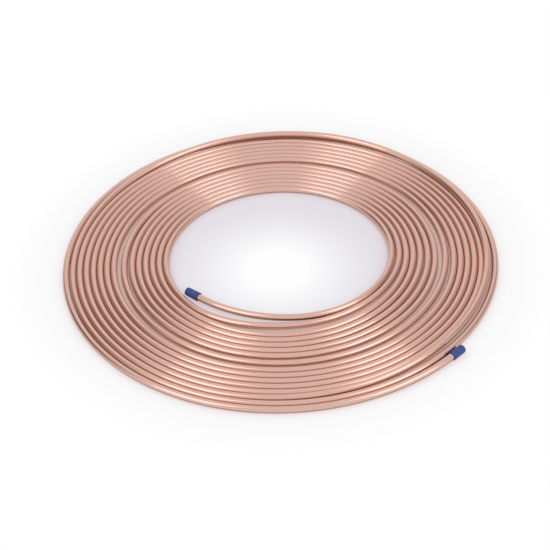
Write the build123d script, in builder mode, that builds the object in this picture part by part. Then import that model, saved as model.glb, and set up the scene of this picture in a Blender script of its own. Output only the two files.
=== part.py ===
import os
from math import asin, atan2, cos, degrees, radians, sin, sqrt

from build123d import *

# soft copper tube, quarter inch across, all sizes in millimetres
tube_od = 6.35
tube_wall = 0.8

# flat winding, one layer lying on the floor, seen from above it grows anticlockwise
bore_diameter = 209.0
turn_gap = 0.15
quarter_turns = 59
loose_gap = 4.3
loose_from_quarter = 25
front_slack = 8.0

# inner end, leaves the first turn at the back right, bends in tighter and comes back beside it
inner_leave_angle = 36.0
inner_end_pull = 13.0
inner_tip_angle = 31.0
inner_cap_gap = 1.2

# outer end, a little straighter than the turn beside it, so that its cap clears that turn
outer_bend_angle = 43.7
cap_turn_gap = 0.9

# push-on end caps
cap_wall = 1.0
cap_taper = 0.3
cap_length = 15.0
cap_end_wall = 1.5
cap_tip_round = 1.2
cap_lip_round = 0.25
cap_fit = 0.03
cap_end_gap = 0.5
cap_lead = 3.0

winding_pitch = tube_od + turn_gap
axis = Vector(winding_pitch / 4, winding_pitch / 4, tube_od / 2)
cap_bore = tube_od / 2 + cap_fit
cap_radius = cap_bore + cap_wall
cap_tip_radius = cap_radius - cap_taper
cap_depth = cap_length - cap_end_wall
cap_grip = cap_depth - cap_end_gap
cap_lift = cap_radius - tube_od / 2


def slack(quarter):
    # how far a turn lies back from a true circle at the front
    return front_slack * (1 - quarter / quarter_turns)


def reach(quarter):
    # distance of the tube's centre line from the axis, a quarter turn at a time
    loose = loose_gap * min(1, max(0, (quarter - loose_from_quarter) / 4))
    out = (bore_diameter + tube_od) / 2 + winding_pitch * quarter / 4 + loose
    return out - slack(quarter) if quarter % 4 == 3 else out


def bend_radii(quarter, radius):
    # a quarter turn is one bend, or two at the front, flatter in the middle and rounder towards the sides
    spread = slack(quarter) / (sqrt(2) - 1)
    if quarter % 4 == 3:
        return radius - spread * (1 - sqrt(0.5)), radius + spread * sqrt(0.5)
    if quarter % 4 == 0:
        return radius + spread * (1 - sqrt(0.5)), radius - spread * sqrt(0.5)
    return (radius,)


with BuildPart() as copper_tube:
    with BuildLine() as turns:
        point = axis + Vector(reach(0) - reach(1), reach(1), 0)
        heading = Vector(-1, 0, 0)
        bends = []
        for quarter in range(2, quarter_turns + 1):
            radii = bend_radii(quarter, reach(quarter) - (point - axis).dot(heading))
            for radius in radii:
                bends.append(JernArc(point, heading, radius, 90 / len(radii)))
                point = bends[-1] @ 1
                heading = bends[-1] % 1
    beside_tip = bends[1] @ (inner_tip_angle / 45)
    inward = Vector(0, 0, 1).cross(bends[1] % (inner_tip_angle / 45))

    # inner end, drawn from the back of the first turn to the right, with its last sweep set by where the tip lies
    tip = beside_tip + inward * (tube_od / 2 + cap_radius + inner_cap_gap)
    tip_ahead = tip.X - (turns.line @ 0).X
    tip_right = (turns.line @ 0).Y - tip.Y
    inner_bend_radius = reach(1) - inner_end_pull
    bend_ahead = inner_end_pull * cos(radians(inner_leave_angle))
    bend_right = reach(1) + inner_bend_radius - inner_end_pull * sin(radians(inner_leave_angle))
    straight = cap_lead + cap_length
    sweep_ahead = tip_ahead - bend_ahead
    sweep_back = bend_right - tip_right
    inner_sweep_radius = (sweep_ahead**2 + sweep_back**2 - straight**2) / (2 * sweep_back)
    tip_direction = atan2(inner_sweep_radius - sweep_back, sweep_ahead) + atan2(inner_sweep_radius, straight)
    inner_sweep_angle = degrees(tip_direction) - 180

    # both ends rise by a hair so that the thicker caps rest on the floor too
    inner_rise = asin(cap_lift / tip_right)
    inner_plane = Plane(turns.line @ 0, (1, 0, 0), (0, -sin(inner_rise), -cos(inner_rise)))
    with BuildLine(inner_plane) as inner_end:
        leave = JernArc((0, 0), (1, 0), reach(1), 90 - inner_leave_angle)
        bend = JernArc(leave @ 1, leave % 1, inner_bend_radius, 90 + inner_leave_angle)
        sweep_in = JernArc(bend @ 1, bend % 1, inner_sweep_radius, inner_sweep_angle)
        Line(sweep_in @ 1, sweep_in @ 1 + (sweep_in % 1) * (cap_lead + cap_grip))

    outer_flare = cap_radius + tube_od / 2 + cap_turn_gap - winding_pitch
    outer_bend_radius = reach(quarter_turns) + outer_flare / (1 - cos(radians(outer_bend_angle)))
    outer_rise = asin(cap_lift / (outer_bend_radius * (1 - cos(radians(outer_bend_angle)))))
    outer_plane = Plane(turns.line @ 1, (1, 0, 0), (0, -sin(outer_rise), cos(outer_rise)))
    with BuildLine(outer_plane) as outer_end:
        bend = JernArc((0, 0), (1, 0), outer_bend_radius, outer_bend_angle)
        Line(bend @ 1, bend @ 1 + (bend % 1) * (cap_lead + cap_grip))

    path = Wire(turns.edges() + inner_end.edges() + outer_end.edges())
    with BuildSketch(Plane(path @ 0, z_dir=path % 0)):
        Circle(tube_od / 2)
        Circle(tube_od / 2 - tube_wall, mode=Mode.SUBTRACT)
    sweep(path=path)
copper_tube.part.label = "copper tube"

os.makedirs("parts", exist_ok=True)
export_step(copper_tube.part, "parts/copper_tube.step")

# each cap is turned about the tube's own end, its mouth behind the end and its tip in front
for node, tube_end, outward in (
    ("inner_end_cap", path @ 0, -(path % 0)),
    ("outer_end_cap", path @ 1, path % 1),
):
    mouth = tube_end - outward * cap_grip
    across = Vector(0, 0, 1).cross(outward).normalized()
    with BuildPart() as cap:
        with BuildSketch(Plane(mouth, x_dir=across, z_dir=across.cross(outward))) as section:
            with BuildLine():
                Polyline(
                    (cap_bore, 0),
                    (cap_radius, 0),
                    (cap_tip_radius, cap_length),
                    (0, cap_length),
                    (0, cap_depth),
                    (cap_bore, cap_depth),
                    close=True,
                )
            make_face()
            fillet(section.vertices().group_by(Axis.Y)[-1].sort_by(Axis.X)[-1], cap_tip_round)
            fillet(section.vertices().group_by(Axis.Y)[0], cap_lip_round)
        revolve(axis=Axis(mouth, outward))
    cap.part.label = node.replace("_", " ")
    export_step(cap.part, "parts/" + node + ".step")
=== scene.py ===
from cmath import exp
from math import atan2, cos, pi, radians, sin, sqrt

import bpy
from mathutils import Euler, Matrix, Vector


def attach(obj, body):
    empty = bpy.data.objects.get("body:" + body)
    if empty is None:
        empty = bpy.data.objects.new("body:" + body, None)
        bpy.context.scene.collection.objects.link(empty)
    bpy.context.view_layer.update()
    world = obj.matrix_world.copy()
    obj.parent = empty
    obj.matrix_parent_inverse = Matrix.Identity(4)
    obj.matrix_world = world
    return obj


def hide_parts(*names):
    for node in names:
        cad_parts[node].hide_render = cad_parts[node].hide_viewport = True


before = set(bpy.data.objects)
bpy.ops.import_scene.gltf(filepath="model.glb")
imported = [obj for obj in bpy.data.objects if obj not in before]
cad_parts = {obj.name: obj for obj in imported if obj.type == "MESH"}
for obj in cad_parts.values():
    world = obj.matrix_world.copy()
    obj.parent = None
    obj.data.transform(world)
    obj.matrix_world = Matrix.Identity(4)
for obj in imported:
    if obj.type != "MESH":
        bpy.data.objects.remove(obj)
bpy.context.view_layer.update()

print("frame loaded:", sorted(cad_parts))


# a shader socket that reads as a number, and one way to make any node
class Wire:
    def __init__(self, tree, socket=None):
        self.tree = tree
        self.socket = socket

    def node(self, kind, settings={}, sockets={}, out=0):
        made = self.tree.nodes.new("ShaderNode" + kind)
        for name, value in settings.items():     # first, because they decide which sockets count
            setattr(made, name, value)
        for name, value in sockets.items():
            if isinstance(value, Wire):
                self.tree.links.new(value.socket, made.inputs[name])
            else:
                made.inputs[name].default_value = value
        return Wire(self.tree, made.outputs[out] if made.outputs else None)

    def maths(self, operation, first, second):
        return self.node("Math", {"operation": operation}, {0: first, 1: second})

    def __add__(self, other):
        return self.maths("ADD", self, other)

    def __sub__(self, other):
        return self.maths("SUBTRACT", self, other)

    def __rsub__(self, other):
        return self.maths("SUBTRACT", other, self)

    def __mul__(self, other):
        return self.maths("MULTIPLY", self, other)

    __radd__ = __add__
    __rmul__ = __mul__


def mixColours(maker, share, first, second):     # sockets 6 and 7 and output 2 are the ones for colours
    return maker.node("Mix", {"data_type": "RGBA"}, {0: share, 6: first, 7: second}, out=2)


def mixSurfaces(maker, share, first, second):
    return maker.node("MixShader", {}, {0: share, 1: first, 2: second})


def ramp(maker, value, start, end, low=0.0, high=1.0, kind="LINEAR"):
    sockets = {"Value": value, "From Min": start, "From Max": end, "To Min": low, "To Max": high}
    return maker.node("MapRange", {"interpolation_type": kind}, sockets)


def newFinish(name):
    finish = bpy.data.materials.new(name)
    finish.use_nodes = True
    finish.node_tree.nodes.clear()
    return finish, Wire(finish.node_tree)


# the tube, wound as in the part's source, in metres
coil = {
    "tubeDiameter": 0.00635,
    "boreDiameter": 0.209,
    "turnGap": 0.00015,
    "quarterTurns": 59,
    "looseGap": 0.0043,
    "looseFromQuarter": 25,
    "frontSlack": 0.008,
    "innerLeaveAngle": radians(36),
    "innerEndPull": 0.013,
    "innerTipAngle": radians(31),
    "innerCapGap": 0.0012,
    "outerBendAngle": radians(43.7),
    "capTurnGap": 0.0009,
    "capRadius": 0.004205,
    "capLead": 0.003,
    "capLength": 0.015,
    "capGrip": 0.013,
    "stepLength": 0.004,                         # between the rings of the mesh
    "sectionResolution": 8,                      # of the curve's round bevel
    # the real winding is uneven: the inner turns are pulled in at the front right, the first one most,
    # and the last turn but one has climbed up at the right and back, with the last turn pushed in under it
    "pulls": (0.0034, 0.0032, 0.0025, 0.0014, 0.0008, 0.0006),       # inwards, from the second turn on
    "pulledFrom": -1.15,                         # in quarter turns from the right of each turn
    "pulledTo": 0.4,
    # from, over, to, over, in quarter turns, then up and out
    "stretches": (
        (2.45, 0.6, 4.35, 0.97, 0, -0.0066),     # first turn, front right
        (50.75, 1.0, 53.95, 0.8, 0.004, 0),      # last turn but one, right and back
        (52.4, 0.5, 53.5, 0.5, 0.0012, 0.0006),
        (51.0, 0.7, 52.8, 0.6, 0, -0.0012),
        (55.85, 0.7, 57.65, 0.7, 0, -0.002),     # last turn, right and back
    ),
    # the finish has soft clouds, and fine streaks along the tube from drawing
    "colours": ((0.81, 0.51, 0.42, 1), (0.78, 0.51, 0.435, 1)),
    "cloudScale": 22.0,
    "cloudShare": 0.7,                           # of the change in colour, the rest goes with the streaks
    "grainScale": (12, 1500, 1500),              # along, across and up
    "roughness": 0.09,
    "cloudRoughness": 0.07,
    "streakRoughness": 0.05,
    "haze": 0.03,
    "streakHaze": 0.1,
    "hazeColour": (0.92, 0.88, 0.86, 1),
    "hazePaleness": 0.25,
    "hazeRoughness": 0.45,
    "hazeSpread": 0.9,                           # anisotropy, wider across the tube than along it
    "hazeTurn": 0.25,                            # in whole turns
}
pitch = coil["tubeDiameter"] + coil["turnGap"]
axis = complex(pitch / 4, pitch / 4)             # places on the floor are complex numbers
capLift = coil["capRadius"] - coil["tubeDiameter"] / 2


def slack(quarter):                              # how far a turn lies back from a true circle at the front
    return coil["frontSlack"] * (1 - quarter / coil["quarterTurns"])


def reach(quarter):                              # from the axis to the tube's centre line
    loose = coil["looseGap"] * min(1, max(0, (quarter - coil["looseFromQuarter"]) / 4))
    out = (coil["boreDiameter"] + coil["tubeDiameter"]) / 2 + pitch * quarter / 4 + loose
    return out - slack(quarter) if quarter % 4 == 3 else out


def ease(share):
    share = min(1, max(0, share))
    return share * share * (3 - 2 * share)


def unevenness(quarter):                         # how far up and out the tube lies from an even winding
    up = out = 0
    for number, pull in enumerate(coil["pulls"], 2):
        first, last = 4 * number + coil["pulledFrom"], 4 * number + coil["pulledTo"]
        if first < quarter < last:
            out -= pull * sin(pi * (quarter - first) / (last - first))**2
    for first, rise, last, fall, lift, shift in coil["stretches"]:
        share = ease((quarter - first) / rise) * ease((last - quarter) / fall)
        up += lift * share
        out += shift * share
    return up, out


def arcFrom(place, heading, radius, angle):      # angle is positive to the left
    count = max(2, round(radius * abs(angle) / coil["stepLength"]))
    side = 1j if angle > 0 else -1j
    centre = place + side * heading * radius
    turned = [exp(1j * angle * i / count) for i in range(1, count + 1)]
    return [centre - side * heading * radius * turn for turn in turned], heading * exp(1j * angle)


def runFrom(place, heading, length):
    count = max(2, round(length / coil["stepLength"]))
    return [place + heading * length * i / count for i in range(1, count + 1)]


def bendRadii(quarter, radius):                  # flatter in the middle of the front, rounder beside it
    spread = slack(quarter) / (sqrt(2) - 1)
    if quarter % 4 == 3:
        return radius - spread * (1 - sqrt(0.5)), radius + spread * sqrt(0.5)
    if quarter % 4 == 0:
        return radius + spread * (1 - sqrt(0.5)), radius - spread * sqrt(0.5)
    return (radius,)


def layTurns():                                  # the centre line's places, and the quarter turn at each
    places = [axis + complex(reach(0) - reach(1), reach(1))]
    quarters = [1]
    heading = -1
    for quarter in range(2, coil["quarterTurns"] + 1):
        ahead = ((places[-1] - axis) * heading.conjugate()).real
        radii = bendRadii(quarter, reach(quarter) - ahead)
        if quarter == 3:                         # the inner cap's tip lies beside this bend
            inward = 1j * heading * exp(1j * coil["innerTipAngle"])
            away = coil["tubeDiameter"] / 2 + coil["capRadius"] + coil["innerCapGap"]
            tip = places[-1] + 1j * heading * radii[0] - inward * (radii[0] - away)
        for radius in radii:
            bend, heading = arcFrom(places[-1], heading, radius, pi / 2 / len(radii))
            places += bend
            start = quarters[-1]
            quarters += [start + (i + 1) / len(bend) / len(radii) for i in range(len(bend))]
    return places, quarters, tip


def layInnerEnd(start, tip):
    leaveAngle = coil["innerLeaveAngle"]
    leave, heading = arcFrom(start, 1, reach(1), leaveAngle - pi / 2)
    bend, heading = arcFrom(leave[-1], heading, reach(1) - coil["innerEndPull"], -leaveAngle - pi / 2)
    ahead, left = bend[-1].real - tip.real, bend[-1].imag - tip.imag
    straight = coil["capLead"] + coil["capLength"]
    radius = (ahead**2 + left**2 - straight**2) / (-2 * left)
    angle = atan2(ahead, radius + left) - atan2(straight, radius)
    sweep, heading = arcFrom(bend[-1], heading, radius, -angle)
    tail = runFrom(sweep[-1], heading, coil["capLead"] + coil["capGrip"])
    climb = capLift / (start - tip).imag         # both ends rise, as the caps are thicker than the tube
    return [(place, (start - place).imag * climb) for place in leave + bend + sweep + tail]


def layOuterEnd(start):
    flare = coil["capRadius"] + coil["tubeDiameter"] / 2 + coil["capTurnGap"] - pitch
    radius = reach(coil["quarterTurns"]) + flare / (1 - cos(coil["outerBendAngle"]))
    bend, heading = arcFrom(start, 1, radius, coil["outerBendAngle"])
    tail = runFrom(bend[-1], heading, coil["capLead"] + coil["capGrip"])
    climb = capLift / (bend[-1] - start).imag
    return [(place, (place - start).imag * climb) for place in bend + tail]


def layTube():
    turns, quarters, tip = layTurns()
    innerEnd = layInnerEnd(turns[0], tip)
    outerEnd = layOuterEnd(turns[-1])
    shifted = []
    for place, quarter in zip(turns, quarters):
        up, out = unevenness(quarter)
        shifted.append((place + out * (place - axis) / abs(place - axis), up))
    line = innerEnd[::-1] + shifted + outerEnd
    return [Vector((place.real, place.imag, coil["tubeDiameter"] / 2 + rise)) for place, rise in line]


def makeTube():
    line = layTube()
    bpy.ops.object.select_all(action="DESELECT")
    bpy.ops.curve.primitive_nurbs_path_add()
    tube = bpy.context.object
    tube.name = "copperTube"
    shape = tube.data
    shape.splines.clear()
    spline = shape.splines.new("POLY")
    spline.points.add(len(line) - 1)
    for point, place in zip(spline.points, line):
        point.co = (*place, 1)
    shape.twist_mode = "Z_UP"
    shape.bevel_depth = coil["tubeDiameter"] / 2
    shape.bevel_resolution = coil["sectionResolution"]
    shape.use_fill_caps = True
    bpy.ops.object.convert(target="MESH")
    tube = bpy.context.object
    bpy.ops.object.mode_set(mode="EDIT")
    bpy.ops.mesh.select_all(action="SELECT")
    bpy.ops.mesh.normals_make_consistent(inside=False)
    bpy.ops.object.mode_set(mode="OBJECT")
    bpy.ops.object.shade_smooth()
    return tube, line


def markGrain(tube, line):                       # each point's place along, across and up the tube
    ring = len(tube.data.vertices) // len(line)
    grain = tube.data.attributes.new("grain", "FLOAT_VECTOR", "POINT")
    along = 0
    for i, middle in enumerate(line):
        along += (middle - line[i - 1]).length if i else 0
        ahead = line[min(i + 1, len(line) - 1)] - line[max(i - 1, 0)]
        side = Vector((ahead.y, -ahead.x, 0)).normalized()
        for j in range(i * ring, i * ring + ring):
            offset = tube.data.vertices[j].co - middle
            grain.data[j].vector = (along, offset.dot(side), offset.z)


def copperFinish():
    finish, maker = newFinish("brightCopper")
    place = maker.node("TexCoord", out="Object")
    cloud = maker.node("TexNoise", {}, {"Vector": place, "Scale": coil["cloudScale"], "Detail": 3.0})
    grain = maker.node("Attribute", {"attribute_name": "grain"}, out="Vector")
    drawn = maker.node("VectorMath", {"operation": "MULTIPLY"}, {0: grain, 1: coil["grainScale"]})
    streak = maker.node("TexNoise", {}, {"Vector": drawn, "Scale": 1.0, "Detail": 2.0})
    change = cloud * coil["cloudShare"] + streak * (1 - coil["cloudShare"])
    colour = mixColours(maker, change, *coil["colours"])
    roughness = coil["roughness"] + cloud * coil["cloudRoughness"] + streak * coil["streakRoughness"]
    polished = maker.node(
        "BsdfPrincipled", {}, {"Base Color": colour, "Metallic": 1.0, "Roughness": roughness}
    )
    # the fine marks from drawing spread the light across the tube
    hazy = maker.node(
        "BsdfPrincipled",
        {},
        {
            "Base Color": mixColours(maker, coil["hazePaleness"], colour, coil["hazeColour"]),
            "Metallic": 1.0,
            "Roughness": coil["hazeRoughness"],
            "Anisotropic": coil["hazeSpread"],
            "Anisotropic Rotation": coil["hazeTurn"],
        },
    )
    surface = mixSurfaces(maker, coil["haze"] + streak * coil["streakHaze"], polished, hazy)
    maker.node("OutputMaterial", {}, {"Surface": surface})
    return finish


tube, tubeLine = makeTube()
markGrain(tube, tubeLine)
tube.data.materials.clear()
tube.data.materials.append(copperFinish())
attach(tube, "root")
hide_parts("copper_tube")
print("tube laid:", len(tubeLine), "rings,", len(tube.data.vertices), "vertices")

# the end caps keep their CAD shape
caps = {
    "colours": ((0.026, 0.046, 0.20, 1), (0.045, 0.075, 0.29, 1)),
    "cloudScale": 260.0,
    "roughness": 0.5,
}


def capFinish():
    finish, maker = newFinish("blueVinyl")
    place = maker.node("TexCoord", out="Object")
    cloud = maker.node("TexNoise", {}, {"Vector": place, "Scale": caps["cloudScale"], "Detail": 3.0})
    colour = mixColours(maker, cloud, *caps["colours"])
    surface = maker.node("BsdfPrincipled", {}, {"Base Color": colour, "Roughness": caps["roughness"]})
    maker.node("OutputMaterial", {}, {"Surface": surface})
    return finish


vinyl = capFinish()
for name in ("inner_end_cap", "outer_end_cap"):
    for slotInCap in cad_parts[name].material_slots:
        slotInCap.material = vinyl
print("caps coloured")

# pale floor, as stage
white = (1, 1, 1, 1)
ground = {
    "side": 8.0,
    "colour": (0.92, 0.93, 0.96, 1),
    "lift": (0.92, 0.62),                        # own brightness in the middle and from the turns outwards
    "liftFrom": 0.02,
    "liftTo": 0.1,
    "whiteFrom": 0.21,                           # the floor turns plain white this far out
    "whiteBy": 0.27,
    "brightMiddle": (-0.004, -0.014, 0),         # the painted shade on the floor inside the coil grows darker away from here
    "brightTo": 0.03,
    "paintedShadeBy": 0.1,
    "paintedShadeColour": (0.72, 0.685, 0.75, 1),
    "shadowReach": 0.012,                        # where the tube meets the floor
    "shadowSamples": 6,
    "shadowShare": 0.1,                          # less to the eye than in the tube's own reflection
    "shadowColour": (0.15, 0.07, 0.05, 1),
    "paintedCopperLightShare": 0.4,                           # painted light: copper-coloured light thrown on the floor beside the tube
    "paintedCopperLightColour": (0.88, 0.52, 0.46, 1),
    # light that the copper throws down between the turns, deeper where they are close together
    "closeColour": (0.14, 0.05, 0.03, 1),
    "looseColour": (0.62, 0.44, 0.39, 1),
    "looseBy": 0.25,                             # how open the floor is where a gap counts as loose
    "underShare": 0.85,
    "underMiddle": (-0.0016, 0.0071, 0),         # the open middle is flatter at the front and right
    "underFrom": 0.1025,
    "underBy": 0.107,
    "underTo": 0.2,
    "outerEndMiddle": (0.096, -0.181, 0),        # it reaches further out here, beside the outer end
    "outerEndReach": 0.06,
    "outerEndFurther": 0.006,
}


def floorFinish():
    finish, maker = newFinish("paleFloor")
    seen, mirrored, through = (
        maker.node("LightPath", out=name)
        for name in ("Is Camera Ray", "Is Glossy Ray", "Is Transmission Ray")
    )
    place = maker.node("TexCoord", out="Object")
    middles = [ground[name] for name in ("underMiddle", "outerEndMiddle", "brightMiddle")]
    fromAxis, fromUnder, fromOuterEnd, fromBright = (
        maker.node("VectorMath", {"operation": "DISTANCE"}, {0: place, 1: middle}, out="Value")
        for middle in [(axis.real, axis.imag, 0)] + middles
    )
    clear = maker.node(                          # 1 on the open floor, 0 where the tube touches it
        "AmbientOcclusion",
        {"samples": ground["shadowSamples"]},
        {"Distance": ground["shadowReach"]},
        out="AO",
    )

    # where the floor lies between the turns
    near = ramp(maker, fromUnder, ground["underFrom"], ground["underBy"], kind="SMOOTHSTEP")
    further = maker.maths("LESS_THAN", fromOuterEnd, ground["outerEndReach"]) * ground["outerEndFurther"]
    under = near * maker.maths("LESS_THAN", fromAxis, further + ground["underTo"])

    # the bare floor, with its own brightness, and painted shade inside the coil that darkens towards the
    # turns
    paintedShade = ramp(maker, fromBright, ground["brightTo"], ground["paintedShadeBy"])
    paintedShade = paintedShade * maker.maths("LESS_THAN", fromAxis, ground["underTo"])
    inside = mixColours(maker, paintedShade, white, ground["paintedShadeColour"])
    lift = ramp(maker, fromAxis, ground["liftFrom"], ground["liftTo"], *ground["lift"])
    bare = maker.node("BsdfDiffuse", {}, {"Color": ground["colour"]})
    own = maker.node("Emission", {}, {"Color": inside})
    bare = mixSurfaces(maker, seen * lift * (1 - under), bare, own)

    # painted shade and painted copper-coloured light beside the tube
    shade = maker.node("BsdfDiffuse", {}, {"Color": ground["shadowColour"]})
    bare = mixSurfaces(maker, (1 - clear) * (seen * ground["shadowShare"] + mirrored), bare, shade)
    paintedCopperLight = maker.node("Emission", {}, {"Color": ground["paintedCopperLightColour"]})
    bare = mixSurfaces(maker, (1 - clear) * seen * ground["paintedCopperLightShare"], bare, paintedCopperLight)

    # light between the turns, and plain white far out
    loose = clear * (1 / ground["looseBy"])
    thrown = mixColours(maker, loose, ground["closeColour"], ground["looseColour"])
    warm = maker.node("Emission", {}, {"Color": thrown})
    plain = mixSurfaces(maker, under * (seen + mirrored) * ground["underShare"], bare, warm)
    far = ramp(maker, fromAxis, ground["whiteFrom"], ground["whiteBy"], kind="SMOOTHSTEP")
    glow = maker.node("Emission", {}, {"Color": white})
    surface = mixSurfaces(maker, (seen + mirrored + through) * far, plain, glow)
    maker.node("OutputMaterial", {}, {"Surface": surface})
    return finish


bpy.ops.object.select_all(action="DESELECT")
bpy.ops.mesh.primitive_plane_add(size=ground["side"])
floor = bpy.context.object
floor.name = "floor"
floor.data.materials.append(floorFinish())
print("floor laid")

# soft studio light
studio = {
    "roomColour": (0.85, 0.85, 0.85, 1),
    "sideColour": (0.13, 0.055, 0.035, 1),
    "darkSides": ((radians(158), 1.0), (radians(27), 0.62)),       # azimuth and depth
    "darkFrom": 0.77,                            # cosine of the angle from a dark side's middle
    "darkSqueeze": (1, 1, 0.5),                  # the dark sides stand taller than they are wide
    "lampDistance": 1.9,
    "lampWidth": 0.9,
    "lampHeight": 1.7,
    "lampPower": 4.4,
    # azimuth, elevation and lean
    "lamps": ((radians(-142), radians(48), radians(12)), (radians(-30), radians(45), radians(-12))),
}


def makeWorld():                                 # an even pale room, darker at the far left and right
    world = bpy.data.worlds.new("studio")
    world.use_nodes = True
    world.node_tree.nodes.clear()
    maker = Wire(world.node_tree)
    direction = maker.node("TexCoord", out="Generated")
    low = maker.node("VectorMath", {"operation": "MULTIPLY"}, {0: direction, 1: studio["darkSqueeze"]})
    low = maker.node("VectorMath", {"operation": "NORMALIZE"}, {0: low})
    share = 0
    for azimuth, depth in studio["darkSides"]:
        side = (cos(azimuth), sin(azimuth), 0)
        towards = maker.node("VectorMath", {"operation": "DOT_PRODUCT"}, {0: low, 1: side}, out="Value")
        share = share + ramp(maker, towards, studio["darkFrom"], 1.0) * depth
    colour = mixColours(maker, share, studio["roomColour"], studio["sideColour"])
    seen = maker.node("LightPath", out="Is Camera Ray")
    colour = mixColours(maker, seen, colour, white)
    maker.node("OutputWorld", {}, {"Surface": maker.node("Background", {}, {"Color": colour})})
    return world


bpy.context.scene.world = makeWorld()

for azimuth, elevation, lean in studio["lamps"]:
    toLamp = Vector((cos(azimuth) * cos(elevation), sin(azimuth) * cos(elevation), sin(elevation)))
    bpy.ops.object.light_add(type="AREA", location=toLamp * studio["lampDistance"])
    lamp = bpy.context.object
    facing = toLamp.to_track_quat("Z", "Y").to_matrix()
    lamp.rotation_euler = (facing @ Matrix.Rotation(lean, 3, "Z")).to_euler()
    lamp.data.shape = "RECTANGLE"
    lamp.data.size = studio["lampWidth"]
    lamp.data.size_y = studio["lampHeight"]
    lamp.data.energy = studio["lampPower"]
print("light set")

# camera at the photograph's viewing angle
view = {
    "elevation": radians(39.654),
    "azimuth": radians(1.144),
    "roll": radians(-2.182),
    "distance": 1.5969,
    "target": (-0.00558, -0.02005, 0),
    "lens": 110.19,
    "sensor": 36,
}
bpy.ops.object.camera_add()
camera = bpy.context.object
back = Vector((0, -cos(view["elevation"]), sin(view["elevation"])))
spin = Matrix.Rotation(view["azimuth"], 3, "Z")
camera.location = spin @ (Vector(view["target"]) + back * view["distance"])
aim = Euler((pi / 2 - view["elevation"], 0, view["azimuth"])).to_matrix()
camera.rotation_euler = (aim @ Matrix.Rotation(view["roll"], 3, "Z")).to_euler()
camera.data.lens = view["lens"]
camera.data.sensor_width = view["sensor"]
bpy.context.scene.camera = camera
bpy.context.scene.view_settings.view_transform = "Standard"
print("camera set")
